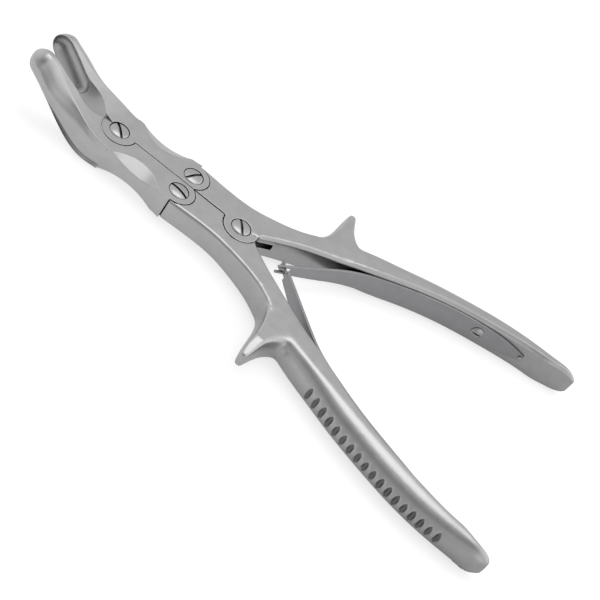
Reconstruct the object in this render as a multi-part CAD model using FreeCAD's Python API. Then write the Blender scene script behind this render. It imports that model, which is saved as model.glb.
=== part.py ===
import FreeCAD, Part
import math
import os

# Bone rongeur with two pivoting links, drawn in millimetres in its open rest pose.
# The outlines are drawn about the handle pivot axis, at the level the tool lies on.
# +X runs to the jaw tips, +Y to the left handle, +Z up through the screw heads.
# The finished pieces move forward, so that the origin is under the middle of the tool.

V = FreeCAD.Vector
os.makedirs("parts", exist_ok=True)

MIDDLE_X = 24.0         # handle pivot ahead of the middle of the tool

# Linkage in the open pose
PIVOT_SPAN = 64.0       # jaw pivot to handle pivot
LINK_X = 28.9           # link pivots ahead of the handle pivot
LINK_Y = 6.45           # link pivots off the centre line
JAW_OPEN_DEG = 9.5      # turn of each jaw from closed to open

# Joint plates
MID_Z = 7.7             # level of the lap faces
PLATE_T = 11.0          # thickness of the joint plates
LAP_GAP = 0.1           # play between two lap faces
FLAT_GAP = 0.2          # half the play between the parting flats
LINK_GAP = 0.5          # play between a jaw tail and its handle
DISC_R = 8.2            # round of the jaw pivot and handle pivot laps
LINK_DISC_R = 7.2       # round of the link laps
DISC_GAP = 0.3          # radial play around a lap disc

# Pivot screws
SHANK_R = 2.6
HEAD_R = 4.35
HEAD_SIDE = 1.3         # straight side of a head, sunk into the plate
HEAD_RISE = 0.65        # dome above the plate
SLOT_W = 1.2
SLOT_DEPTH = 1.3
HEAD_PLAY = 0.2         # play around and under a head
RUN_PLAY = 0.04         # radial play of a running shank
LOOP_PLAY = 0.1         # radial play at the jaw pivot, where the loop closes
PRESS = 0.02            # radial press of a fixed shank
SLOT_TURN_DEG = {"jaw": 133.0, "handle": 124.0, "left": 168.0, "right": 62.0}

# Handle grip
GRIP_Z = 7.3            # mid height of the grip
GRIP_HALF = 7.6         # half height of the grip before the rest strip is trimmed
STEM_HALF = 6.6         # half height where the grip starts
INNER_CHAMFER = 1.3
EDGE_ROUND = 1.6        # rounding of the outer stem edges

# Cross grooves of the grip
GROOVE_COUNT = 18
GROOVE_FIRST_X = -62.5
GROOVE_PITCH = 4.24
GROOVE_R = 1.2

# Finger spur
SPUR_HALF = 6.5
SPUR_TIP_HALF = 3.2
SPUR_SLOPE_Y = 46.0
SPUR_TIP_Y = 56.2

# Jaw cups
CUP_HALF_W = 5.7        # half width of the hollow across the rim
CUP_DEPTH = 3.8
CUP_LENGTH = 26.0
CUP_TIP_WALL = 0.4
CROWN_POWER = 1.65      # below 2 the crown starts as a broad facet
BITE_DEG = 31.5         # rise of the jaw ends out of the plate

# Corner taken off each handle behind the pivot, so that the handles can close
CORNER_DEG = 13.2
CORNER_REACH = 14.0

# Pocket in the inner face of the right handle, beside the pivot
POCKET_X = (-14.8, -6.0)
POCKET_Z = (7.0, 10.1)
POCKET_DEPTH = 3.5

# Waist facets of the jaws
WAIST_SHARE = 0.527     # place of the waist between the link and the jaw pivot
WAIST_CHORD = 24.0
WAIST_Y = 13.3
FRONT_FACET = (5.9, 2.6)
BACK_FACET = (5.0, 2.3)

# Leaf springs
LEAF_T = 1.0
LEAF_FRONT = [(0, 5.0), (-25.5, 5.0), (-31, 6.2), (-44, 8.2), (-58, 10.0), (-70, 10.5)]
LEAF_TAIL = [(19.9, 10.5), (12.9, 9.4), (6.9, 7.4), (1.9, 4.8), (-1.6, 2.4)]  # from the peg
LEAF_ROOT_X = -68.0     # where the leaf meets the handle
LEAF_BEDS = [0.0, 0.21, 0.41, 0.63, 0.82, 1.0]
LEAF_END = 2.5          # leaf length past the peg
LEAF_SINK = 0.05        # bedding of the leaf in the handle face
TONGUE_W = 2.2
FORK_SLOT_W = 2.7
FORK_SLOT_X = -26.6
TONGUE_X = -26.6
TEE_W = 5.4
TEE_L = 1.4
LEFT_LEAF_FREE = [(-22.4, -4.1), (-25.2, -1.2), (-31.1, 4.9), (-38.6, 12.3), (-48.6, 22.0), (-57.5, 29.6)]
RIGHT_LEAF_FREE = [(-21.8, -0.6), (-25.4, 2.8), (-30.1, 7.0), (-37.5, 14.0), (-46.0, 21.9), (-57.4, 29.7)]

# Spring screws and pegs
SPRING_SCREW_X = -107.5
SPRING_SCREW_R = 1.6
SPRING_HEAD_R = 3.0
SPRING_HEAD_H = 1.4
SPRING_SHANK_L = 6.0
SPRING_SLOT_W = 0.8
PEG_X = -129.9
PEG_R = 1.0
PEG_L = 5.0
PEG_RISE = 0.6

PLATE_BACK = MID_Z - PLATE_T / 2
PLATE_FRONT = MID_Z + PLATE_T / 2
Z_AXIS = V(0, 0, 1)
Y_AXIS = V(0, 1, 0)
JAW_PIVOT = V(PIVOT_SPAN, 0, 0)
HANDLE_PIVOT = V(0, 0, 0)

# Edges of the left handle in plan
STEM_OUTER = [(28.8, 15.1), (16, 14.35), (4, 14.6), (-8, 17.2), (-20, 21.7), (-27, 26.2)]
INNER_EDGE = [(-7.7, 2.6), (-14, 7.5), (-28, 16.4), (-41, 23.4)]
GRIP_EDGE = [(-41, 23.4), (-50, 28.2), (-60, 33.2), (-72, 39.3), (-86, 45.3),
             (-102, 50.4), (-118, 54.3), (-132, 57.0), (-143, 58.5)]
GRIP_WIDTH = [13.4, 12.8, 12.0, 11.2, 10.7, 10.4, 10.1, 8.7, 7.1]
GRIP_LAND = [8.0, 7.6, 6.2, 3.4, 1.4, 0.5, 0.3, 0.3, 0.3]
GRIP_END = [(-149.0, 62.0, 3.2, 7.3), (-153.6, 62.0, 2.5, 6.1), (-156.4, 61.8, 1.4, 3.6)]
SPUR_FRONT = [(-20, 20.4), (-25.2, 24.4), (-28.4, 29.2), (-30.2, 36.0), (-31.0, 47.0), (-31.9, 54.6)]
SPUR_REAR = [(-35.4, 54.6), (-36.8, 49.6), (-38.4, 45.0), (-41.4, 41.0), (-46.0, 38.6)]
CREASE_FRONT = [(-20, 20.0), (-26.6, 24.4), (-29.8, 29.4), (-31.4, 36.0), (-32.2, 47.0), (-32.6, 54.0)]
CREASE_REAR = [(-34.8, 54.0), (-36.4, 48.4), (-38.6, 43.0), (-42.2, 38.2), (-47.5, 34.6)]

# Jaw stations: x ahead of the jaw pivot, front z, rise, thickness, crown start y, outermost y
JAW_STATIONS = [
    (0.0, 13.2, 0.0, 12.8, 12.9, 13.3),
    (4.5, 13.5, 8.0, 13.3, 12.2, 13.4),
    (9.0, 14.6, 16.0, 13.4, 11.3, 12.9),
    (14.0, 16.4, 21.5, 13.1, 9.4, 11.7),
    (19.0, 18.5, 25.5, 12.5, 7.2, 10.9),
    (24.0, 21.0, 29.0, 12.0, 5.2, 10.4),
    (30.0, 24.5, BITE_DEG, 11.8, 3.2, 9.8),
    (36.0, 28.2, BITE_DEG, 11.8, 1.8, 8.0),
]
TIP_LENGTH = 6.0
TIP_STEPS = [0.35, 0.62, 0.82, 0.94, 0.99]
BITE_GAP = [(8.4, 0.0), (9.6, 0.6), (11.9, 1.95), (15.2, 2.8), (18.8, 2.6), (23.0, 1.25),
            (28.0, 1.0), (34.0, 0.7), (40.0, 0.1), (46.0, 0.1)]  # from the jaw pivot


def curve(points, z=0.0):
    spline = Part.BSplineCurve()
    spline.interpolate([V(x, y, z) for x, y in points])
    return spline.toShape()


def line(a, b):
    return Part.makeLine(V(*a), V(*b))


def polygon(points, z=0.0):
    closed = points + [points[0]]
    return Part.makePolygon([V(x, y, z) for x, y in closed])


def prism(wire, height):
    return Part.Face(wire).extrude(V(0, 0, height))


def cylinder(x, y, radius, z_low, z_high):
    return Part.makeCylinder(radius, z_high - z_low, V(x, y, z_low), Z_AXIS)


def block(x0, x1, y0, y1, z0, z1):
    return Part.makeBox(x1 - x0, y1 - y0, z1 - z0, V(x0, y0, z0))


def side_profile(points, y0, y1):
    wire = Part.makePolygon([V(x, y0, z) for x, z in points + [points[0]]])
    return Part.Face(wire).extrude(V(0, y1 - y0, 0))


def mirrored(shape):
    return shape.mirror(V(0, 0, 0), Y_AXIS)


# A section of the handle or jaw: straight inner side, chamfers, lands and a rounded outer side.
def d_section(origin, out, up, half, chamfer, land_end, reach, power=2.0):
    def at(u, w):
        return origin + out * u + up * w

    corners = [at(0, -(half - chamfer)), at(0, half - chamfer), at(chamfer, half), at(land_end, half)]
    round_points = []
    for step in range(1, 8):
        angle = math.pi / 2 - step * math.pi / 8
        u = land_end + (reach - land_end) * math.cos(angle) ** (2 / power)
        w = half * math.copysign(abs(math.sin(angle)) ** (2 / power), math.sin(angle))
        round_points.append(at(u, w))
    last = [at(land_end, -half), at(chamfer, -half)]
    spline = Part.BSplineCurve()
    spline.interpolate(Points=[corners[3]] + round_points + [last[0]],
                       InitialTangent=out, FinalTangent=out * -1)
    edges = [Part.makeLine(corners[0], corners[1])]
    if chamfer > 0:
        edges.append(Part.makeLine(corners[1], corners[2]))
    edges.append(Part.makeLine(corners[2], corners[3]))
    edges.append(spline.toShape())
    edges.append(Part.makeLine(last[0], last[1]))
    if chamfer > 0:
        edges.append(Part.makeLine(last[1], corners[0]))
    return Part.Wire(edges)


# Outward direction of the grip at one of its inner edge points.
def edge_normal(points, index):
    before = points[max(index - 1, 0)]
    after = points[min(index + 1, len(points) - 1)]
    along = V(after[0] - before[0], after[1] - before[1], 0)
    along.normalize()
    return V(-along.y, along.x, 0) * -1


# Grip of the left handle as one loft from the spur to its rounded end.
def grip_solid():
    sections = []
    for index, (x, y) in enumerate(GRIP_EDGE):
        out = edge_normal(GRIP_EDGE, index)
        share = min(1.0, index / 2.0)
        half = STEM_HALF + (GRIP_HALF - STEM_HALF) * share
        z = MID_Z + (GRIP_Z - MID_Z) * share
        origin = V(x, y, z) - out * INNER_CHAMFER
        land = INNER_CHAMFER + GRIP_LAND[index]
        reach = INNER_CHAMFER + GRIP_WIDTH[index]
        sections.append(d_section(origin, out, Z_AXIS, half, INNER_CHAMFER, land, reach))
    for x, y, half_width, half in GRIP_END:
        share = half / GRIP_HALF
        origin = V(x, y - half_width, GRIP_Z)
        chamfer = INNER_CHAMFER * share
        land = chamfer + GRIP_LAND[-1] * share
        sections.append(d_section(origin, V(0, 1, 0), Z_AXIS, half, chamfer, land, 2 * half_width))
    return Part.makeLoft(sections, True, False)


# Stem of the left handle from the link to the grip, with chamfered inner edges.
def stem_solid():
    out = edge_normal(GRIP_EDGE, 0)
    inner = [V(x, y, 0) for x, y in INNER_EDGE]
    path = []
    for index, point in enumerate(inner):
        normal = edge_normal(INNER_EDGE, index)
        if index == len(inner) - 1:
            normal = out
        moved = point - normal * INNER_CHAMFER
        path.append((moved.x, moved.y))
    far = V(GRIP_EDGE[0][0], GRIP_EDGE[0][1], 0) + out * (GRIP_WIDTH[0] - 2.0)
    z0 = MID_Z - STEM_HALF
    front_x = STEM_OUTER[0][0]
    edges = [
        curve(STEM_OUTER, z0),
        line((STEM_OUTER[-1][0], STEM_OUTER[-1][1], z0), (far.x, far.y, z0)),
        line((far.x, far.y, z0), (path[-1][0], path[-1][1], z0)),
        curve(path, z0),
        line((path[0][0], path[0][1], z0), (path[0][0], FLAT_GAP, z0)),
        line((path[0][0], FLAT_GAP, z0), (front_x, FLAT_GAP, z0)),
        line((front_x, FLAT_GAP, z0), (front_x, STEM_OUTER[0][1], z0)),
    ]
    solid = prism(Part.Wire(Part.__sortEdges__(edges)), 2 * STEM_HALF)
    half = PLATE_T / 2
    slope = [(40, MID_Z + half), (0, MID_Z + half), (-26, MID_Z + STEM_HALF), (-60, MID_Z + STEM_HALF),
             (-60, MID_Z - STEM_HALF), (-26, MID_Z - STEM_HALF), (0, MID_Z - half), (40, MID_Z - half)]
    solid = solid.common(side_profile(slope, -5, 50))
    inner_line = Part.BSplineCurve()
    inner_line.interpolate([V(x, y, 0) for x, y in path])
    outer_line = Part.BSplineCurve()
    outer_line.interpolate([V(x, y, 0) for x, y in STEM_OUTER])
    solid = solid.makeChamfer(INNER_CHAMFER, edges_along(solid, inner_line))
    return solid.makeFillet(EDGE_ROUND, edges_along(solid, outer_line))


# Front and back edges of a solid that follow a line drawn in plan.
def edges_along(solid, drawn):
    drawn_edge = drawn.toShape()
    chosen = []
    for edge in solid.Edges:
        box = edge.BoundBox
        middle = edge.valueAt((edge.FirstParameter + edge.LastParameter) / 2)
        if box.XLength < 1.0 or abs(middle.z - MID_Z) < PLATE_T / 2 - 0.5:
            continue
        distances = []
        for vertex in edge.Vertexes:
            flat = Part.Vertex(V(vertex.X, vertex.Y, 0))
            distances.append(flat.distToShape(drawn_edge)[0])
        distances.append(Part.Vertex(V(middle.x, middle.y, 0)).distToShape(drawn_edge)[0])
        if max(distances) < 0.05:
            chosen.append(edge)
    return chosen


# Outline of the finger spur at one level, rooted inside the stem and the grip.
def spur_wire(front, rear, z):
    tip_y = SPUR_TIP_Y + front[-1][1] - SPUR_FRONT[-1][1]
    tip = Part.Arc(V(front[-1][0], front[-1][1], z),
                   V((front[-1][0] + rear[0][0]) / 2, tip_y, z),
                   V(rear[0][0], rear[0][1], z)).toShape()
    root = [(-44.0, 31.5, z), (-26.0, 18.5, z)]
    edges = [
        curve(front, z),
        tip,
        curve(rear, z),
        line((rear[-1][0], rear[-1][1], z), root[0]),
        line(root[0], root[1]),
        line(root[1], (front[0][0], front[0][1], z)),
    ]
    return Part.Wire(edges)


# Finger spur: a flat horn with rounded flanks that thins to its rounded tip.
def spur_solid():
    wires = [
        spur_wire(CREASE_FRONT, CREASE_REAR, MID_Z - SPUR_HALF),
        spur_wire(SPUR_FRONT, SPUR_REAR, MID_Z),
        spur_wire(CREASE_FRONT, CREASE_REAR, MID_Z + SPUR_HALF),
    ]
    solid = Part.makeLoft(wires, True, False)
    outline = [(10, SPUR_HALF), (SPUR_SLOPE_Y, SPUR_HALF), (SPUR_TIP_Y, SPUR_TIP_HALF),
               (SPUR_TIP_Y, -SPUR_TIP_HALF), (SPUR_SLOPE_Y, -SPUR_HALF), (10, -SPUR_HALF)]
    points = [V(-60, y, MID_Z + z) for y, z in outline + [outline[0]]]
    wedge = Part.Face(Part.makePolygon(points)).extrude(V(60, 0, 0))
    return solid.common(wedge)


# Outermost y of the grip at a given x, for the cross grooves.
def grip_outer_y(x):
    places = []
    for index, (px, py) in enumerate(GRIP_EDGE):
        point = V(px, py, 0) + edge_normal(GRIP_EDGE, index) * GRIP_WIDTH[index]
        places.append((point.x, point.y))
    for (x0, y0), (x1, y1) in zip(places, places[1:]):
        if x1 <= x <= x0:
            return y0 + (y1 - y0) * (x - x0) / (x1 - x0)
    return places[-1][1]


def cut_grooves(solid):
    for index in range(GROOVE_COUNT):
        x = GROOVE_FIRST_X - index * GROOVE_PITCH
        groove = cylinder(x, grip_outer_y(x), GROOVE_R, -1, 2 * GRIP_HALF + 1)
        solid = solid.cut(groove)
    return solid


# Inner face of the left grip at a given x: a point on it and its outward direction.
def inner_face_at(x):
    for index in range(len(GRIP_EDGE) - 1):
        x0, y0 = GRIP_EDGE[index]
        x1, y1 = GRIP_EDGE[index + 1]
        if x1 <= x <= x0 or index == len(GRIP_EDGE) - 2:
            share = (x - x0) / (x1 - x0)
            out = edge_normal(GRIP_EDGE, index) * (1 - share) + edge_normal(GRIP_EDGE, index + 1) * share
            out.normalize()
            break
    return V(x, y0 + (y1 - y0) * share, MID_Z) - out * INNER_CHAMFER, out


# Lap of a handle or jaw at one pivot: its own disc in one layer, room for the other disc.
def lap(solid, x, y, radius, own_front, fill=None):
    low = (PLATE_BACK, MID_Z - LAP_GAP / 2)
    high = (MID_Z + LAP_GAP / 2, PLATE_FRONT)
    own = high if own_front else low
    other_z = (-20, MID_Z + LAP_GAP / 2) if own_front else (MID_Z - LAP_GAP / 2, 40)
    solid = solid.cut(cylinder(x, y, radius + DISC_GAP, other_z[0], other_z[1]))
    disc = cylinder(x, y, radius, own[0], own[1])
    if fill is not None:
        disc = disc.common(fill)
    return solid.fuse(disc)


def bore(solid, x, y, radius):
    return solid.cut(cylinder(x, y, radius, -20, 40))


def head_seat(solid, x, y):
    return solid.cut(cylinder(x, y, HEAD_R + HEAD_PLAY, PLATE_FRONT - HEAD_SIDE - HEAD_PLAY, 40))


def pivot_screw(x, y, slot_deg):
    top = PLATE_FRONT
    shank = cylinder(x, y, SHANK_R, PLATE_BACK, top - HEAD_SIDE)
    side = cylinder(x, y, HEAD_R, top - HEAD_SIDE, top + HEAD_RISE)
    dome_r = (HEAD_R ** 2 + HEAD_RISE ** 2) / (2 * HEAD_RISE)
    dome = Part.makeSphere(dome_r, V(x, y, top + HEAD_RISE - dome_r))
    head = side.common(dome)
    slot = block(-HEAD_R - 1, HEAD_R + 1, -SLOT_W / 2, SLOT_W / 2, 0, 5)
    slot.rotate(V(0, 0, 0), Z_AXIS, slot_deg)
    slot.translate(V(x, y, top + HEAD_RISE - SLOT_DEPTH))
    return shank.fuse(head).cut(slot)


# Shallow pocket beside the handle pivot, where the other lap passes.
def pocket():
    low, high = POCKET_X
    (x0, y0), (x1, y1) = INNER_EDGE[:2]
    slope = (y1 - y0) / (x1 - x0)
    low_y = y0 + slope * (low - x0) + POCKET_DEPTH
    high_y = y0 + slope * (high - x0) + POCKET_DEPTH
    outline = [(high, -2), (low, -2), (low, low_y), (high, high_y)]
    return prism(polygon(outline, POCKET_Z[0]), POCKET_Z[1] - POCKET_Z[0])


# Handle with its link lap behind the jaw tail and its pivot lap behind or in front.
def handle(left):
    solid = stem_solid().fuse(grip_solid())
    solid = solid.fuse(spur_solid())
    solid = cut_grooves(solid)
    face, out = inner_face_at(SPRING_SCREW_X)
    start = face - out * 2.0
    solid = solid.cut(Part.makeCylinder(SPRING_SCREW_R - PRESS, 2.0 + SPRING_SHANK_L, start, out))
    face, out = inner_face_at(PEG_X)
    start = face - out * 2.0
    solid = solid.cut(Part.makeCylinder(PEG_R - PRESS, 2.0 + PEG_L, start, out))
    solid = solid.cut(block(-200, 60, -80, 80, -20, 0))
    rise = CORNER_REACH * math.tan(math.radians(CORNER_DEG))
    corner = [(0, 0), (-CORNER_REACH, rise), (-CORNER_REACH, -1), (0, -1)]
    solid = solid.cut(prism(polygon(corner, -5), 30))
    if not left:
        solid = solid.cut(pocket())
    sign = 1 if left else -1
    if not left:
        solid = mirrored(solid)
    side = block(-200, 60, FLAT_GAP, 80, -20, 40) if left else block(-200, 60, -80, -FLAT_GAP, -20, 40)
    solid = lap(solid, LINK_X, sign * LINK_Y, LINK_DISC_R, False, side)
    solid = bore(solid, LINK_X, sign * LINK_Y, SHANK_R - PRESS)
    solid = lap(solid, 0, 0, DISC_R, not left)
    solid = bore(solid, 0, 0, SHANK_R - PRESS if left else SHANK_R + RUN_PLAY)
    if not left:
        solid = head_seat(solid, 0, 0)
    return solid.removeSplitter()


# Head and cup of a left jaw in its closed place, as a loft out of the plate plane.
def jaw_head():
    sections = []
    for x, z, rise, thick, crown, outer in JAW_STATIONS:
        angle = math.radians(rise)
        up = V(-math.sin(angle), 0, math.cos(angle))
        middle = V(PIVOT_SPAN + x, FLAT_GAP, z) - up * (thick / 2)
        sections.append(d_section(middle, Y_AXIS, up, thick / 2, 0, crown, outer, CROWN_POWER))
    x, z, rise, thick, crown, outer = JAW_STATIONS[-1]
    angle = math.radians(rise)
    up = V(-math.sin(angle), 0, math.cos(angle))
    ahead = V(math.cos(angle), 0, math.sin(angle))
    middle = V(PIVOT_SPAN + x, FLAT_GAP, z) - up * (thick / 2)
    for step in TIP_STEPS:
        scale = math.sqrt(1 - step * step)
        point = middle + ahead * (TIP_LENGTH * step)
        half = thick / 2 * scale
        sections.append(d_section(point, Y_AXIS, up, half, 0, crown * scale, outer * scale, CROWN_POWER))
    return Part.makeLoft(sections, True, False)


# Hollow of the cup: a shallow round ended trough along the jaw end.
def cup_hollow():
    x, z, rise, thick, crown, outer = JAW_STATIONS[-1]
    angle = math.radians(rise)
    ahead = V(math.cos(angle), 0, math.sin(angle))
    up = V(-math.sin(angle), 0, math.cos(angle))
    radius = (CUP_HALF_W ** 2 + CUP_DEPTH ** 2) / (2 * CUP_DEPTH)
    rim_y = BITE_GAP[-3][1]
    tip = V(PIVOT_SPAN + x, rim_y + CUP_DEPTH - radius, z) - up * (thick / 2)
    tip = tip + ahead * (TIP_LENGTH - CUP_TIP_WALL)
    front = tip - ahead * CUP_HALF_W
    rear = tip - ahead * (CUP_LENGTH - CUP_HALF_W)
    trough = Part.makeCylinder(radius, (front - rear).Length, rear, ahead)
    trough = trough.fuse(Part.makeSphere(radius, front))
    return trough.fuse(Part.makeSphere(radius, rear))


# Space that stays between the closed jaws: the throat and the fine gap of the rims.
def bite_space():
    gap = [(PIVOT_SPAN + x, y) for x, y in BITE_GAP]
    low = gap[0]
    high = gap[-1]
    edges = [
        curve(gap, -10),
        line((high[0], high[1], -10), (high[0], -3, -10)),
        line((high[0], -3, -10), (low[0], -3, -10)),
        line((low[0], -3, -10), (low[0], low[1], -10)),
    ]
    return prism(Part.Wire(Part.__sortEdges__(edges)), 60)


# Place between the link and the jaw pivot, as a share of the way.
def shank_x(share):
    return LINK_X + share * (PIVOT_SPAN - LINK_X)


# Scooped facet on an outer edge of the waist, cut by a wheel lying along the facet.
def waist_facet(width, depth, front):
    slant = math.hypot(width, depth)
    sink = width * depth / slant
    radius = ((WAIST_CHORD / 2) ** 2 + sink ** 2) / (2 * sink)
    sign = 1 if front else -1
    face_z = PLATE_FRONT if front else PLATE_BACK
    along = V(0, width / slant, -sign * depth / slant)
    away = V(0, depth / slant, sign * width / slant)
    start = V(shank_x(WAIST_SHARE), WAIST_Y - width, face_z) + away * radius - along * 20
    return Part.makeCylinder(radius, 60, start, along)


# Shank of the left jaw from the link to the jaw pivot, in the open pose.
def jaw_tail():
    turn = math.radians(JAW_OPEN_DEG)
    reach = JAW_STATIONS[0][5] + FLAT_GAP
    corner = (PIVOT_SPAN - reach * math.sin(turn), reach * math.cos(turn))
    start_x = STEM_OUTER[0][0] + LINK_GAP
    root = (start_x, STEM_OUTER[0][1])
    outer = [root, (shank_x(0.26), 13.9), (shank_x(WAIST_SHARE), WAIST_Y), (shank_x(0.772), 13.1), corner]
    z0 = -2.0
    edges = [
        curve(outer, z0),
        line((corner[0], corner[1], z0), (PIVOT_SPAN, 0, z0)),
        line((PIVOT_SPAN, 0, z0), (PIVOT_SPAN - 1, FLAT_GAP, z0)),
        line((PIVOT_SPAN - 1, FLAT_GAP, z0), (start_x, FLAT_GAP, z0)),
        line((start_x, FLAT_GAP, z0), (root[0], root[1], z0)),
    ]
    solid = prism(Part.Wire(Part.__sortEdges__(edges)), 20)
    x, z, rise, thick, crown, outer_y = JAW_STATIONS[0]
    outline = [(20, PLATE_BACK), (shank_x(0.6), PLATE_BACK), (PIVOT_SPAN + 2, z - thick),
               (PIVOT_SPAN + 2, PLATE_FRONT), (20, PLATE_FRONT)]
    solid = solid.common(side_profile(outline, -5, 40))
    solid = solid.cut(waist_facet(FRONT_FACET[0], FRONT_FACET[1], True))
    return solid.cut(waist_facet(BACK_FACET[0], BACK_FACET[1], False))


def jaw(left):
    head = jaw_head().cut(cup_hollow())
    head = head.cut(bite_space())
    head.rotate(JAW_PIVOT, Z_AXIS, JAW_OPEN_DEG)
    solid = head.fuse(jaw_tail())
    sign = 1 if left else -1
    if not left:
        solid = mirrored(solid)
    side = block(0, 60, FLAT_GAP, 40, -20, 40) if left else block(0, 60, -40, -FLAT_GAP, -20, 40)
    solid = lap(solid, LINK_X, sign * LINK_Y, LINK_DISC_R, True, side)
    solid = bore(solid, LINK_X, sign * LINK_Y, SHANK_R + RUN_PLAY)
    solid = head_seat(solid, LINK_X, sign * LINK_Y)
    solid = lap(solid, PIVOT_SPAN, 0, DISC_R, not left)
    solid = bore(solid, PIVOT_SPAN, 0, SHANK_R - PRESS if left else SHANK_R + LOOP_PLAY)
    if not left:
        solid = head_seat(solid, PIVOT_SPAN, 0)
    return solid.removeSplitter()


# Leaf spring as it lies on the left handle: a bent strip, cut to its width seen from the side.
def leaf(free, fork):
    tail = PEG_X - LEAF_END
    rooted = [inner_face_at(LEAF_ROOT_X + share * (tail - LEAF_ROOT_X)) for share in LEAF_BEDS]
    widths = LEAF_FRONT + [(PEG_X + x, w) for x, w in LEAF_TAIL]
    bed = LEAF_T / 2 - LEAF_SINK
    path = list(free)
    for face, out in rooted:
        point = face - out * bed
        path.append((point.x, point.y))
    spline = Part.BSplineCurve()
    spline.interpolate([V(x, y, 0) for x, y in path])
    first = spline.FirstParameter
    steps = 30
    sides = []
    for offset in (LEAF_T / 2, -LEAF_T / 2):
        points = []
        for step in range(steps + 1):
            t = first + (spline.LastParameter - first) * step / steps
            point = spline.value(t)
            along = spline.tangent(t)[0]
            points.append((point.x - along.y * offset, point.y + along.x * offset))
        sides.append(points)
    edges = [
        curve(sides[0], -5),
        line((sides[0][-1][0], sides[0][-1][1], -5), (sides[1][-1][0], sides[1][-1][1], -5)),
        curve(sides[1], -5),
        line((sides[1][0][0], sides[1][0][1], -5), (sides[0][0][0], sides[0][0][1], -5)),
    ]
    ribbon = prism(Part.Wire(Part.__sortEdges__(edges)), 30)
    upper = Part.BSplineCurve()
    upper.interpolate([V(x, -20, MID_Z + w / 2) for x, w in widths])
    lower = Part.BSplineCurve()
    lower.interpolate([V(x, -20, MID_Z - w / 2) for x, w in widths])
    front_x, front_w = widths[0]
    tail_x, tail_w = widths[-1]
    outline = [
        upper.toShape(),
        line((tail_x, -20, MID_Z + tail_w / 2), (tail_x, -20, MID_Z - tail_w / 2)),
        lower.toShape(),
        line((front_x, -20, MID_Z - front_w / 2), (front_x, -20, MID_Z + front_w / 2)),
    ]
    side = Part.Face(Part.Wire(Part.__sortEdges__(outline))).extrude(V(0, 100, 0))
    solid = ribbon.common(side)
    if fork:
        solid = solid.cut(block(FORK_SLOT_X, 0, -30, 30, MID_Z - FORK_SLOT_W / 2, MID_Z + FORK_SLOT_W / 2))
    else:
        for low, high in ((MID_Z + TONGUE_W / 2, 40), (-20, MID_Z - TONGUE_W / 2)):
            solid = solid.cut(block(TONGUE_X, 0, -30, 30, low, high))
        tee_x = free[0][0] - TEE_L
        tee = ribbon.common(block(tee_x, 10, -30, 30, MID_Z - TEE_W / 2, MID_Z + TEE_W / 2))
        solid = solid.fuse(tee)
    face, out = inner_face_at(SPRING_SCREW_X)
    solid = solid.cut(Part.makeCylinder(SPRING_SCREW_R - PRESS, 8, face - out * 4, out))
    face, out = inner_face_at(PEG_X)
    return solid.cut(Part.makeCylinder(PEG_R - PRESS, 8, face - out * 4, out))


# Slotted screw of a leaf spring, driven from between the handles.
def spring_screw():
    face, out = inner_face_at(SPRING_SCREW_X)
    seat = face - out * (LEAF_T - LEAF_SINK)
    shank = Part.makeCylinder(SPRING_SCREW_R, LEAF_T + SPRING_SHANK_L - 0.5, seat, out)
    dome_r = (SPRING_HEAD_R ** 2 + SPRING_HEAD_H ** 2) / (2 * SPRING_HEAD_H)
    head = Part.makeCylinder(SPRING_HEAD_R, SPRING_HEAD_H, seat - out * SPRING_HEAD_H, out)
    head = head.common(Part.makeSphere(dome_r * 1.25, seat + out * (dome_r * 1.25 - SPRING_HEAD_H)))
    along = V(out.y, -out.x, 0)
    reach = SPRING_HEAD_R + 1
    slot = Part.makeBox(2 * reach, 2.0, SPRING_SLOT_W, V(-reach, -1, -SPRING_SLOT_W / 2))
    slot.rotate(V(0, 0, 0), Z_AXIS, math.degrees(math.atan2(along.y, along.x)))
    slot.translate(seat - out * (SPRING_HEAD_H + 0.3))
    return shank.fuse(head).cut(slot)


# Locating peg in the tail of a leaf spring.
def spring_peg():
    face, out = inner_face_at(PEG_X)
    start = face - out * (LEAF_T - LEAF_SINK + PEG_RISE)
    return Part.makeCylinder(PEG_R, LEAF_T + PEG_RISE + PEG_L - 0.5, start, out)


pieces = {
    "left_jaw": jaw(True),
    "right_jaw": jaw(False),
    "left_handle": handle(True),
    "right_handle": handle(False),
    "jaw_pivot_screw": pivot_screw(PIVOT_SPAN, 0, SLOT_TURN_DEG["jaw"]),
    "left_link_screw": pivot_screw(LINK_X, LINK_Y, SLOT_TURN_DEG["left"]),
    "right_link_screw": pivot_screw(LINK_X, -LINK_Y, SLOT_TURN_DEG["right"]),
    "handle_pivot_screw": pivot_screw(0, 0, SLOT_TURN_DEG["handle"]),
    "left_leaf_spring": leaf(LEFT_LEAF_FREE, False),
    "right_leaf_spring": mirrored(leaf(RIGHT_LEAF_FREE, True)),
    "left_spring_screw": spring_screw(),
    "right_spring_screw": mirrored(spring_screw()),
    "left_spring_peg": spring_peg(),
    "right_spring_peg": mirrored(spring_peg()),
}

for name, shape in pieces.items():
    solids = shape.Solids
    print(name, "solids", len(solids), "valid", shape.isValid(), "volume", round(shape.Volume, 1))
    result = solids[0] if len(solids) == 1 else shape
    result.translate(V(MIDDLE_X, 0, 0))
    result.exportStep("parts/" + name + ".step")
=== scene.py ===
# %% [markdown]
# # A bone rongeur in satin stainless steel
# The tool is a train of levers. Two handles cross at one pivot, each pulls the tail of a jaw
# through a pivot of its own, and the jaws cross at a fourth. Two leaf springs hook into each
# other and push the handles apart. The measured model gives every piece its true size and place,
# so this lesson loads it first, and then adds finer screws, finishes, light and a camera.

# %% Load the measured model
import bpy
import bmesh
import math
from mathutils import Matrix, Vector


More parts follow.
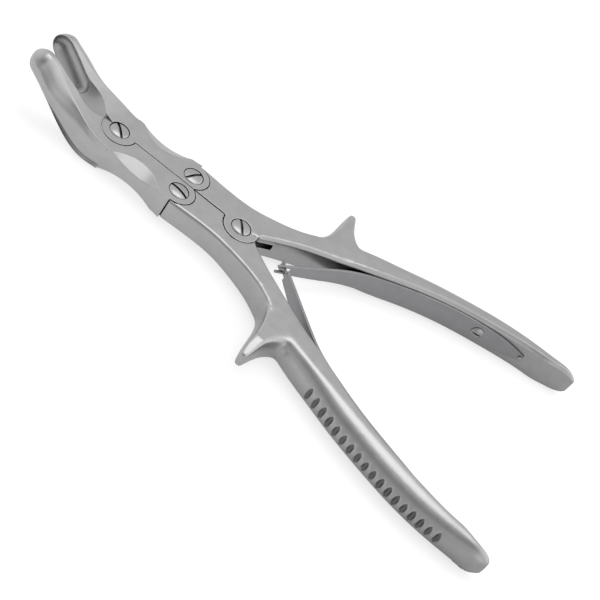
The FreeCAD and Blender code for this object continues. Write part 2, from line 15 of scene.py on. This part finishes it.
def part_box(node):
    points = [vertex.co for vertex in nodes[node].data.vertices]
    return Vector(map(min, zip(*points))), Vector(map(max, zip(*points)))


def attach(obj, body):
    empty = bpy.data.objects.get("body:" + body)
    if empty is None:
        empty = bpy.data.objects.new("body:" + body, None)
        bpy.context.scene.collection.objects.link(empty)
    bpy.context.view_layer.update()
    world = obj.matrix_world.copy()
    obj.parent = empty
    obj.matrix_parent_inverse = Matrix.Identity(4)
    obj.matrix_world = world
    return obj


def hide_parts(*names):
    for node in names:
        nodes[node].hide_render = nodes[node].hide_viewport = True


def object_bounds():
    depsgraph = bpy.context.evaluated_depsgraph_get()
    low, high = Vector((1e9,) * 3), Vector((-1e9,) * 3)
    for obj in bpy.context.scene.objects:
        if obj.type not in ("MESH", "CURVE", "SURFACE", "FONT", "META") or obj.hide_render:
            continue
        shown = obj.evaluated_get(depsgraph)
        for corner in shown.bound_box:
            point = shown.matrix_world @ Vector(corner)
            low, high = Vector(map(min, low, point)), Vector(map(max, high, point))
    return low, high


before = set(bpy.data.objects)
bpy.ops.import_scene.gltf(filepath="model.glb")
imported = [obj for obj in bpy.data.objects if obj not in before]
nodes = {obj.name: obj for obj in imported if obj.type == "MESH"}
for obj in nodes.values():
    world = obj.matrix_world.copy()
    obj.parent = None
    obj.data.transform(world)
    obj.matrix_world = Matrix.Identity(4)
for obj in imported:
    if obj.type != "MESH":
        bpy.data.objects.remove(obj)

cad_box = [list(corner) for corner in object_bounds()]
print("CAD box in metres", cad_box)

# %% [markdown]
# ## Camera
# A long lens from half a metre away keeps both handles nearly the same size, as in a catalogue
# picture. The place and tilt were solved from the four pivots and the outline of the tool, so
# the lens stands in front of the left handle and looks down at about 42 degrees.

# %% Camera at the photograph's angle
LENS_MM = 85.6
EYE = Vector((-0.00902, 0.44582, 0.39727))
RIGHT = Vector((-0.78281, -0.40837, 0.46951))
DOWN = Vector((-0.62221, 0.52314, -0.58239))
FORWARD = Vector((-0.00779, -0.74803, -0.66362))

camera_data = bpy.data.cameras.new("studio_camera")
camera_data.lens = LENS_MM
camera_data.sensor_fit = "HORIZONTAL"
camera_data.sensor_width = 36.0
camera_data.clip_start = 0.01
camera = bpy.data.objects.new("studio_camera", camera_data)
turn = Matrix((RIGHT, -DOWN, -FORWARD)).transposed().to_4x4()
camera.matrix_world = Matrix.Translation(EYE) @ turn
bpy.context.scene.collection.objects.link(camera)
bpy.context.scene.camera = camera
print("camera", [round(v, 3) for v in EYE], "lens", LENS_MM)

# %% [markdown]
# ## Helpers for node trees
# Every finish below is a small graph of shader nodes. Three helpers keep that short: one adds a
# node with its numbers, one links two nodes and one starts an empty material.

# %% Node helpers
def add(tree, kind, inputs=None, **settings):
    node = tree.nodes.new(kind)
    for key, value in settings.items():
        setattr(node, key, value)
    for key, value in (inputs or {}).items():
        node.inputs[key].default_value = value
    return node


def join(tree, source, socket, target, into):
    tree.links.new(source.outputs[socket], target.inputs[into])


def new_material(name):
    material = bpy.data.materials.new(name)
    material.use_nodes = True
    material.node_tree.nodes.clear()
    return material


# %% [markdown]
# ## Floor and room
# Satin steel is mostly a blurred picture of its room, so the light here is a room: a white table,
# a pale wall behind the tool, one large soft panel above and behind it, a window on the side
# of -X, and a darker band over the photographer's head, which draws the dark lines along the
# rounded sides.
# The table takes the tool's shadow through its diffuse part. A second, glowing part, seen only
# by the camera and in reflections, lifts its tone to white and lights nothing. In reflections
# the table carries a painted shade, darker under the grips than under the jaws.

# %% White table
def flat_plate(name, size, place):
    mesh = bpy.data.meshes.new(name)
    bm = bmesh.new()
    bmesh.ops.create_grid(bm, x_segments=1, y_segments=1, size=size / 2)
    bmesh.ops.translate(bm, verts=bm.verts, vec=place)
    bm.to_mesh(mesh)
    bm.free()
    plate = bpy.data.objects.new(name, mesh)
    bpy.context.scene.collection.objects.link(plate)
    return plate


TABLE_SIZE = 8.0
TABLE_DROP = 0.0002
TABLE_GREY = 0.42
TABLE_GLOW = 0.72
table = flat_plate("table", TABLE_SIZE, Vector((0, 0, cad_box[0][2] - TABLE_DROP)))
table_paint = new_material("white_table")
tree = table_paint.node_tree
matte = add(tree, "ShaderNodeBsdfDiffuse", {"Color": (TABLE_GREY, TABLE_GREY, TABLE_GREY, 1)})
lift = add(tree, "ShaderNodeEmission", {"Color": (1, 1, 1, 1)})
path = add(tree, "ShaderNodeLightPath")
camera_share = add(tree, "ShaderNodeMath", {1: TABLE_GLOW}, operation="MULTIPLY")
spot = add(tree, "ShaderNodeTexCoord")
spot_parts = add(tree, "ShaderNodeSeparateXYZ")
# Painted shade in reflections: the glow that glossy rays see falls from the jaws towards the grips.
reflected_floor_shade = add(tree, "ShaderNodeMapRange",
                 {"From Min": -0.10, "From Max": 0.06, "To Min": 0.24, "To Max": 0.52})
mirror_share = add(tree, "ShaderNodeMath", operation="MULTIPLY")
glass_share = add(tree, "ShaderNodeMath", {1: TABLE_GLOW}, operation="MULTIPLY")
first_sum = add(tree, "ShaderNodeMath", operation="ADD")
second_sum = add(tree, "ShaderNodeMath", operation="ADD")
both = add(tree, "ShaderNodeAddShader")
output = add(tree, "ShaderNodeOutputMaterial")
join(tree, path, "Is Camera Ray", camera_share, 0)
join(tree, spot, "Object", spot_parts, "Vector")
join(tree, spot_parts, "X", reflected_floor_shade, "Value")
join(tree, path, "Is Glossy Ray", mirror_share, 0)
join(tree, reflected_floor_shade, "Result", mirror_share, 1)
join(tree, path, "Is Transmission Ray", glass_share, 0)
join(tree, camera_share, 0, first_sum, 0)
join(tree, mirror_share, 0, first_sum, 1)
join(tree, first_sum, 0, second_sum, 0)
join(tree, glass_share, 0, second_sum, 1)
join(tree, second_sum, 0, lift, "Strength")
join(tree, matte, 0, both, 0)
join(tree, lift, 0, both, 1)
join(tree, both, 0, output, "Surface")
table.data.materials.append(table_paint)
print("table at z", cad_box[0][2])

# %% Room light by direction
world = bpy.data.worlds.new("studio")
bpy.context.scene.world = world
world.use_nodes = True
tree = world.node_tree
tree.nodes.clear()
direction = add(tree, "ShaderNodeTexCoord")
split = add(tree, "ShaderNodeSeparateXYZ")
across = add(tree, "ShaderNodeMapRange", {"From Min": -1.0, "From Max": 1.0})
room_tone = add(tree, "ShaderNodeValToRGB")
room_tone.color_ramp.interpolation = "EASE"
ROOM_STOPS = [(-1.0, 0.90), (-0.75, 0.99), (-0.30, 0.95), (0.10, 0.74), (0.30, 0.54), (0.48, 0.36),
              (0.64, 0.50), (0.77, 0.66), (1.0, 0.66)]
stops = room_tone.color_ramp.elements
stops.remove(stops[1])
stops[0].position = 0.0
stops[0].color = (ROOM_STOPS[0][1],) * 3 + (1,)
for side, grey in ROOM_STOPS[1:]:
    stops.new((side + 1) / 2).color = (grey, grey, grey, 1)
wall = add(tree, "ShaderNodeMapRange",
           {"From Min": 0.3, "From Max": 0.85, "To Max": 0.35}, interpolation_type="SMOOTHSTEP")
window = add(tree, "ShaderNodeMapRange",
             {"From Min": -0.15, "From Max": -0.60, "To Max": 0.62}, interpolation_type="SMOOTHSTEP")
sides = add(tree, "ShaderNodeMath", operation="ADD")
total = add(tree, "ShaderNodeMath", operation="ADD")
room = add(tree, "ShaderNodeBackground")
backdrop = add(tree, "ShaderNodeBackground", {"Color": (1, 1, 1, 1), "Strength": 1.0})
path = add(tree, "ShaderNodeLightPath")
choose = add(tree, "ShaderNodeMixShader")
output = add(tree, "ShaderNodeOutputWorld")
join(tree, direction, "Generated", split, "Vector")
join(tree, split, "Y", across, "Value")
join(tree, across, "Result", room_tone, "Fac")
join(tree, split, "X", wall, "Value")
join(tree, split, "X", window, "Value")
join(tree, wall, "Result", sides, 0)
join(tree, window, "Result", sides, 1)
join(tree, room_tone, "Color", total, 0)
join(tree, sides, 0, total, 1)
join(tree, total, 0, room, "Strength")
join(tree, path, "Is Camera Ray", choose, "Fac")
join(tree, room, "Background", choose, 1)
join(tree, backdrop, "Background", choose, 2)
join(tree, choose, "Shader", output, "Surface")
print("room tones", [(round(stop.position * 2 - 1, 2), round(stop.color[0], 2)) for stop in stops])


# %% Soft panel above and behind the tool
def soft_panel(name, place, aim, width, height, radiance):
    data = bpy.data.lights.new(name, "AREA")
    data.shape = "RECTANGLE"
    data.size = width
    data.size_y = height
    data.energy = radiance * math.pi * width * height
    lamp = bpy.data.objects.new(name, data)
    look = Vector(aim) - Vector(place)
    lamp.matrix_world = Matrix.Translation(place) @ look.to_track_quat("-Z", "Y").to_matrix().to_4x4()
    bpy.context.scene.collection.objects.link(lamp)
    return lamp


PANEL_PLACE = (0.12, -0.30, 1.2)
PANEL_AIM = (0.12, -0.30, 0)
key = soft_panel("overhead_panel", PANEL_PLACE, PANEL_AIM, width=0.96, height=0.70, radiance=1.25)
bpy.context.scene.view_settings.view_transform = "Standard"
print("panel", [round(v, 2) for v in key.matrix_world.translation])

# %% [markdown]
# ## Edge wear and rounded edges
# A forged and ground tool has no knife-sharp corners: each edge is eased by a wheel, and hands
# polish it brighter. The Bevel node finds how far the normal turns near an edge. Its normal
# rounds the edge in the shading, and the difference from the true normal is a mask for wear.

# %% Group: eased_edge
def new_group(name, inputs, outputs):
    group = bpy.data.node_groups.new(name, "ShaderNodeTree")
    for label, kind, value in inputs:
        socket = group.interface.new_socket(name=label, in_out="INPUT", socket_type=kind)
        socket.default_value = value
    for label, kind in outputs:
        group.interface.new_socket(name=label, in_out="OUTPUT", socket_type=kind)
    return group, add(group, "NodeGroupInput"), add(group, "NodeGroupOutput")


def use(tree, group, **values):
    node = add(tree, "ShaderNodeGroup", node_tree=group)
    for key, value in values.items():
        node.inputs[key.replace("_", " ")].default_value = value
    return node


eased_edge, given, made = new_group(
    "eased_edge", [("Radius", "NodeSocketFloat", 0.0004)],
    [("Normal", "NodeSocketVector"), ("Wear", "NodeSocketFloat")])
rounded = add(eased_edge, "ShaderNodeBevel", samples=6)
true_normal = add(eased_edge, "ShaderNodeNewGeometry")
agree = add(eased_edge, "ShaderNodeVectorMath", operation="DOT_PRODUCT")
turned = add(eased_edge, "ShaderNodeMapRange", {"From Min": 0.995, "From Max": 0.80})
spots = add(eased_edge, "ShaderNodeTexCoord")
patchy = add(eased_edge, "ShaderNodeTexNoise", {"Scale": 220.0, "Detail": 3.0})
patches = add(eased_edge, "ShaderNodeMapRange", {"From Min": 0.3, "From Max": 0.65, "To Min": 0.45})
worn = add(eased_edge, "ShaderNodeMath", operation="MULTIPLY")
join(eased_edge, given, "Radius", rounded, "Radius")
join(eased_edge, rounded, "Normal", agree, 0)
join(eased_edge, true_normal, "Normal", agree, 1)
join(eased_edge, agree, "Value", turned, "Value")
join(eased_edge, spots, "Object", patchy, "Vector")
join(eased_edge, patchy, 0, patches, "Value")
join(eased_edge, turned, 0, worn, 0)
join(eased_edge, patches, 0, worn, 1)
join(eased_edge, rounded, "Normal", made, "Normal")
join(eased_edge, worn, 0, made, "Wear")
print("group", eased_edge.name)

# %% [markdown]
# ## Painted shade in seams
# The play between two discs, a screw slot and the foot of a groove see little of the room, so their
# colour is painted darker there as shade. The Ambient Occlusion node measures how closed in a point
# is.

# %% Group: painted shade in seams
seam_shade, given, made = new_group(
    "seam_shade", [("Reach", "NodeSocketFloat", 0.002)], [("Seam", "NodeSocketFloat")])
closed_in = add(seam_shade, "ShaderNodeAmbientOcclusion", samples=8)
# Painted shade: the more closed in a point is, the darker its colour is painted.
depth = add(seam_shade, "ShaderNodeMapRange",
            {"From Min": 0.74, "From Max": 0.36}, interpolation_type="SMOOTHSTEP")
join(seam_shade, given, "Reach", closed_in, "Distance")
join(seam_shade, closed_in, "AO", depth, "Value")
join(seam_shade, depth, 0, made, "Seam")
print("group", seam_shade.name)

# %% [markdown]
# The cup of a jaw is a wider hollow, and its colour gets painted shade there too. Only the jaw itself
# should count: the same node with its local setting ignores the table and the other pieces.

# %% Group: painted shade in the jaw's cup
hollow_shade, given, made = new_group(
    "hollow_shade", [("Reach", "NodeSocketFloat", 0.008)], [("Hollow", "NodeSocketFloat")])
walled_in = add(hollow_shade, "ShaderNodeAmbientOcclusion", samples=8, only_local=True)
# Painted shade: how walled in a point of the cup is becomes a share of darkening.
share = add(hollow_shade, "ShaderNodeMapRange",
            {"From Min": 0.92, "From Max": 0.45, "To Max": 0.75}, interpolation_type="SMOOTHSTEP")
join(hollow_shade, given, "Reach", walled_in, "Distance")
join(hollow_shade, walled_in, "AO", share, "Value")
join(hollow_shade, share, 0, made, "Hollow")
print("group", hollow_shade.name)

# %% [markdown]
# ## Satin grain
# After grinding, the tool is blasted or brushed to a satin that does not dazzle the surgeon.
# Close up that is a very fine pitting with faint strokes along the tool, and from a distance
# slow soft clouds of tone. Two noises give the cloud and the pitting, a stretched one the strokes.

# %% Group: satin_grain
satin_grain, given, made = new_group(
    "satin_grain",
    [("Pitting", "NodeSocketFloat", 2600.0),
     ("Strokes", "NodeSocketVector", (180.0, 2400.0, 2400.0))],
    [("Cloud", "NodeSocketFloat"), ("Height", "NodeSocketFloat")])
place = add(satin_grain, "ShaderNodeTexCoord")
cloud = add(satin_grain, "ShaderNodeTexNoise", {"Scale": 190.0, "Detail": 4.0, "Roughness": 0.6})
pits = add(satin_grain, "ShaderNodeTexNoise", {"Detail": 3.0, "Roughness": 0.7})
stretch = add(satin_grain, "ShaderNodeVectorMath", operation="MULTIPLY")
strokes = add(satin_grain, "ShaderNodeTexNoise", {"Scale": 1.0, "Detail": 2.0})
blend = add(satin_grain, "ShaderNodeMath", operation="ADD")
join(satin_grain, place, "Object", cloud, "Vector")
join(satin_grain, place, "Object", pits, "Vector")
join(satin_grain, given, "Pitting", pits, "Scale")
join(satin_grain, place, "Object", stretch, 0)
join(satin_grain, given, "Strokes", stretch, 1)
join(satin_grain, stretch, "Vector", strokes, "Vector")
join(satin_grain, pits, 0, blend, 0)
join(satin_grain, strokes, 0, blend, 1)
join(satin_grain, cloud, 0, made, "Cloud")
join(satin_grain, blend, 0, made, "Height")
print("group", satin_grain.name)

# %% [markdown]
# ## The steel itself
# One recipe serves all pieces with different numbers: metallic Principled steel whose colour carries
# painted shade in seams, is a little brighter on worn edges and slightly clouded, and whose roughness
# follows the grain. The cups of the jaws and the grooves of the grips get painted shade as hollows,
# the grooves through an attribute that the handles' meshes carry. The turned screws have fine rings
# instead of strokes: a noise along the distance from their own axis, which each screw's mesh carries
# as an attribute.

# %% Steel recipe
def tone(tint, factor):
    return tuple(min(1.0, c * factor) for c in tint) + (1,)


def mixed(tree, low, high, by, socket):
    node = add(tree, "ShaderNodeMix", data_type="RGBA")
    if low is not None:
        node.inputs[6].default_value = low
    node.inputs[7].default_value = high
    join(tree, by, socket, node, 0)
    return node


def steel(name, tint, roughness, edge=0.0004, seam_reach=0.0022, bump=0.03, rings=False,
          hollows=False, cup_reach=0.0):
    material = new_material(name)
    tree = material.node_tree
    grain = use(tree, satin_grain)
    edges = use(tree, eased_edge, Radius=edge)
    seams = use(tree, seam_shade, Reach=seam_reach)
    clouded = mixed(tree, tone(tint, 0.88), tone(tint, 1.12), grain, "Cloud")
    worn = mixed(tree, None, tone(tint, 1.3), edges, "Wear")
    # Painted shade: the colour darkens to a tenth of the tint in seams, slots and hollows.
    painted_shade_mix = mixed(tree, None, tone(tint, 0.10), seams, "Seam")
    rough = add(tree, "ShaderNodeMapRange", {"To Min": roughness - 0.04, "To Max": roughness + 0.04})
    relief = add(tree, "ShaderNodeBump", {"Strength": bump, "Distance": 0.00004})
    surface = add(tree, "ShaderNodeBsdfPrincipled", {"Metallic": 1.0})
    output = add(tree, "ShaderNodeOutputMaterial")
    tree.links.new(clouded.outputs[2], worn.inputs[6])
    tree.links.new(worn.outputs[2], painted_shade_mix.inputs[6])
    tree.links.new(painted_shade_mix.outputs[2], surface.inputs["Base Color"])
    join(tree, grain, "Cloud", rough, "Value")
    join(tree, rough, "Result", surface, "Roughness")
    if cup_reach:
        cup = use(tree, hollow_shade, Reach=cup_reach)
        darker = add(tree, "ShaderNodeMath", operation="MAXIMUM")
        join(tree, cup, "Hollow", darker, 0)
        join(tree, seams, "Seam", darker, 1)
        join(tree, darker, 0, painted_shade_mix, 0)
    if hollows:
        # Painted shade in the grip's cross grooves, read from the hollow depth that the handles carry.
        depth = add(tree, "ShaderNodeAttribute", attribute_name="hollow")
        shaded = add(tree, "ShaderNodeMapRange",
                     {"From Min": 0.000010, "From Max": 0.000050, "To Max": 0.70},
                     interpolation_type="SMOOTHSTEP")
        darker = add(tree, "ShaderNodeMath", operation="MAXIMUM")
        join(tree, depth, "Fac", shaded, "Value")
        join(tree, shaded, "Result", darker, 0)
        join(tree, seams, "Seam", darker, 1)
        join(tree, darker, 0, painted_shade_mix, 0)
    if rings:
        radius = add(tree, "ShaderNodeAttribute", attribute_name="from_axis")
        turned_rings = add(tree, "ShaderNodeTexNoise", {"Scale": 7000.0, "Detail": 1.0},
                           noise_dimensions="1D")
        join(tree, radius, "Fac", turned_rings, "W")
        join(tree, turned_rings, 0, relief, "Height")
    else:
        join(tree, grain, "Height", relief, "Height")
    join(tree, edges, "Normal", relief, "Normal")
    join(tree, relief, "Normal", surface, "Normal")
    join(tree, surface, "BSDF", output, "Surface")
    return material


satin = steel("satin_steel", (0.47, 0.47, 0.475), 0.29)
forged_metal = steel("forged_steel", (0.47, 0.47, 0.475), 0.29, hollows=True)
jaw_metal = steel("jaw_steel", (0.47, 0.47, 0.475), 0.29, cup_reach=0.008)
spring_metal = steel("spring_steel", (0.37, 0.37, 0.38), 0.26, edge=0.00025)
screw_metal = steel("screw_steel", (0.46, 0.46, 0.465), 0.30, edge=0.0002, seam_reach=0.0016)
turned_metal = steel("turned_steel", (0.46, 0.46, 0.465), 0.28, edge=0.0002, seam_reach=0.0016,
                     bump=0.12, rings=True)
for name, node in nodes.items():
    finish = jaw_metal if "jaw" in name else satin
    if "screw" in name or "peg" in name:
        finish = screw_metal
    if "leaf" in name:
        finish = spring_metal
    node.data.materials.clear()
    node.data.materials.append(finish)
print("finishes", [metal.name for metal in (forged_metal, jaw_metal, spring_metal, screw_metal)])

# %% [markdown]
# ## Forged handles
# A handle is forged in one piece and ground by hand, so its finger spur grows out of the stem
# and the grip in soft fillets. The measured solid has the true outline, but its spur meets the
# grip in creases. A merged copy gets an even mesh from the voxel Remesh modifier, and then the
# points near the root of the spur are smoothed many times, which turns each crease into a fillet,
# while the rest of the handle is only eased along its edges. Smoothing a copy further and
# measuring how far each point rises finds the hollows, such as the cross grooves of the grip,
# and the crown of the grip between them gets a few more passes.

# %% Even mesh and soft roots
VOXEL = 0.0004
GRIP_X = -0.022
SPUR_X = (-0.018, 0.0)
SPUR_Y = 0.046
ROOT_X = -0.0135
ROOT_Y = 0.0355
ROOT_RINGS = [(0.0150, 12), (0.0125, 18), (0.0100, 26)]
SPUR_PASSES = 8
HOLLOW_PASSES = 8
CROWN_PASSES = 5
LEVEL_RISE = 0.000008
MERGE_DISTANCE = 0.000002


def show(name, mesh):
    piece = bpy.data.objects.new(name, mesh)
    bpy.context.scene.collection.objects.link(piece)
    return piece


def finished_mesh(piece):
    bpy.context.view_layer.update()
    settled = piece.evaluated_get(bpy.context.evaluated_depsgraph_get())
    mesh = bpy.data.meshes.new_from_object(settled)
    piece.modifiers.clear()
    piece.data = mesh
    return mesh


def smooth(bm, verts, times):
    for step in range(times):
        bmesh.ops.smooth_vert(bm, verts=verts, factor=0.5,
                              use_axis_x=True, use_axis_y=True, use_axis_z=True)


def merged_copy(node_name):
    mesh = nodes[node_name].data.copy()
    kept = mesh.attributes.new("measured_normal", "FLOAT_VECTOR", "CORNER")
    for index, corner in enumerate(mesh.corner_normals):
        kept.data[index].vector = corner.vector
    bm = bmesh.new()
    bm.from_mesh(mesh)
    bmesh.ops.remove_doubles(bm, verts=bm.verts, dist=MERGE_DISTANCE)
    bm.to_mesh(mesh)
    bm.free()
    return mesh


# The depth is kept as the attribute hollow, which the forged steel turns into painted shade in the
# grooves.
def mark_hollows(bm):
    depth = bm.verts.layers.float.new("hollow")
    level = bm.copy()
    smooth(level, level.verts, HOLLOW_PASSES)
    for vertex, eased in zip(bm.verts, level.verts):
        vertex[depth] = max(0.0, (eased.co - vertex.co).dot(vertex.normal))
    level.free()
    return depth


def forged(node_name, side):
    piece = show("forged_" + node_name, merged_copy(node_name))
    even = piece.modifiers.new("even_mesh", "REMESH")
    even.mode = "VOXEL"
    even.voxel_size = VOXEL
    mesh = finished_mesh(piece)
    bm = bmesh.new()
    bm.from_mesh(mesh)
    smooth(bm, bm.verts, 1)
    root = Vector((ROOT_X, side * ROOT_Y))
    for radius, times in ROOT_RINGS:
        near = [v for v in bm.verts if (v.co.xy - root).length < radius]
        smooth(bm, near, times)
    bm.normal_update()
    spur = [v for v in bm.verts if v.co.y * side > SPUR_Y and SPUR_X[0] < v.co.x < SPUR_X[1]]
    smooth(bm, spur, SPUR_PASSES)
    depth = mark_hollows(bm)
    crown = [v for v in bm.verts if v.co.x < GRIP_X and v.normal.z > 0.3 and v.normal.y * side > 0.1]
    smooth(bm, [v for v in crown if v[depth] < LEVEL_RISE], CROWN_PASSES)
    for face in bm.faces:
        face.smooth = True
    bm.to_mesh(mesh)
    bm.free()
    mesh.materials.clear()
    mesh.materials.append(forged_metal)
    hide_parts(node_name)
    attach(piece, node_name)
    print(piece.name, "faces", len(mesh.polygons))


forged("left_handle", 1)
forged("right_handle", -1)

# %% [markdown]
# ## Eased jaw lap
# The round lap under the jaw screw is ground with a little air around it, which shows as a fine
# dark ring. In the picture that air is half a pixel wide, so the wall of the lap is drawn in by
# two tenths of a millimetre on a merged copy of the jaw, which keeps the measured normals.

# %% Air around the jaw lap
LAP_RADIUS = 0.0082
LAP_AIR = 0.00022
WALL_MARGIN = 0.00004


def eased_lap(node_name):
    low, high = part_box("jaw_pivot_screw")
    centre = Vector(((low.x + high.x) / 2, (low.y + high.y) / 2))
    mesh = merged_copy(node_name)
    wall = [v for v in mesh.vertices if abs((v.co.xy - centre).length - LAP_RADIUS) < WALL_MARGIN]
    for vertex in wall:
        inward = (centre - vertex.co.xy).normalized() * LAP_AIR
        vertex.co.x += inward.x
        vertex.co.y += inward.y
    measured = mesh.attributes["measured_normal"]
    mesh.normals_split_custom_set([corner.vector.copy() for corner in measured.data])
    mesh.attributes.remove(mesh.attributes["measured_normal"])
    mesh.materials.clear()
    mesh.materials.append(jaw_metal)
    piece = show("eased_" + node_name, mesh)
    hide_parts(node_name)
    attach(piece, node_name)
    print(piece.name, "lap points", len(wall))


eased_lap("right_jaw")

# %% [markdown]
# ## Pivot screws
# Four slotted screws carry the joints. Each is turned on a lathe, so here a profile is spun about
# its axis, a slot is milled with a Boolean cut, and a narrow Bevel breaks the sharp edges that
# catch the light on a real screw.

# %% Turned and slotted screws
SLOT_TURN_DEG = {"jaw_pivot_screw": 133.0, "handle_pivot_screw": 124.0,
                 "left_link_screw": 168.0, "right_link_screw": 62.0}
SCREW_BODY = {"jaw_pivot_screw": "left_jaw", "handle_pivot_screw": "left_handle",
              "left_link_screw": "left_handle", "right_link_screw": "right_handle"}
SLOT_WIDTH = 0.0012
SLOT_DEPTH = 0.0013
TURNED_PROFILE = [(0.0, 0.65), (0.9, 0.63), (1.8, 0.55), (2.7, 0.40), (3.5, 0.20), (4.05, 0.02),
                  (4.35, -0.28), (4.35, -1.3), (2.6, -1.3), (2.6, -10.75), (2.35, -11.0), (0.0, -11.0)]
HEAD_RISE = 0.00065
CUTTER_LENGTH = 0.012
CUTTER_HEIGHT = 0.004
BROKEN_EDGE = 0.00013


def turned_screw(node_name):
    low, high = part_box(node_name)
    plate_top = high.z - HEAD_RISE
    bm = bmesh.new()
    line = [bm.verts.new((r / 1000, 0, z / 1000)) for r, z in TURNED_PROFILE]
    edges = [bm.edges.new(pair) for pair in zip(line, line[1:])]
    bmesh.ops.spin(bm, geom=line + edges, axis=(0, 0, 1), cent=(0, 0, 0), dvec=(0, 0, 0),
                   angle=math.tau, steps=64, use_merge=True)
    bmesh.ops.remove_doubles(bm, verts=bm.verts, dist=0.000005)
    bmesh.ops.recalc_face_normals(bm, faces=bm.faces)
    mesh = bpy.data.meshes.new("turned_" + node_name)
    bm.to_mesh(mesh)
    bm.free()
    piece = show("turned_" + node_name, mesh)

    bm = bmesh.new()
    bmesh.ops.create_cube(bm, size=1.0)
    bmesh.ops.scale(bm, verts=bm.verts, vec=(CUTTER_LENGTH, SLOT_WIDTH, CUTTER_HEIGHT))
    bmesh.ops.translate(bm, verts=bm.verts, vec=(0, 0, HEAD_RISE - SLOT_DEPTH + CUTTER_HEIGHT / 2))
    bmesh.ops.rotate(bm, verts=bm.verts, cent=(0, 0, 0),
                     matrix=Matrix.Rotation(math.radians(SLOT_TURN_DEG[node_name]), 3, "Z"))
    cutter_mesh = bpy.data.meshes.new("slot_mill")
    bm.to_mesh(cutter_mesh)
    bm.free()
    cutter = show("slot_mill", cutter_mesh)
    milled = piece.modifiers.new("milled_slot", "BOOLEAN")
    milled.object = cutter
    milled.operation = "DIFFERENCE"
    broken = piece.modifiers.new("broken_edges", "BEVEL")
    broken.width = BROKEN_EDGE
    broken.segments = 2
    broken.limit_method = "ANGLE"
    broken.angle_limit = math.radians(38)
    mesh = finished_mesh(piece)
    bpy.data.objects.remove(cutter)

    radius = mesh.attributes.new("from_axis", "FLOAT", "POINT")
    for index, vertex in enumerate(mesh.vertices):
        radius.data[index].value = vertex.co.xy.length
    mesh.transform(Matrix.Translation(((low.x + high.x) / 2, (low.y + high.y) / 2, plate_top)))
    mesh.shade_smooth()
    mesh.set_sharp_from_angle(angle=math.radians(40))
    mesh.materials.clear()
    mesh.materials.append(turned_metal)
    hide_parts(node_name)
    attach(piece, SCREW_BODY[node_name])
    print(piece.name, "top at", round(high.z * 1000, 2), "mm")


for name in SCREW_BODY:
    turned_screw(name)
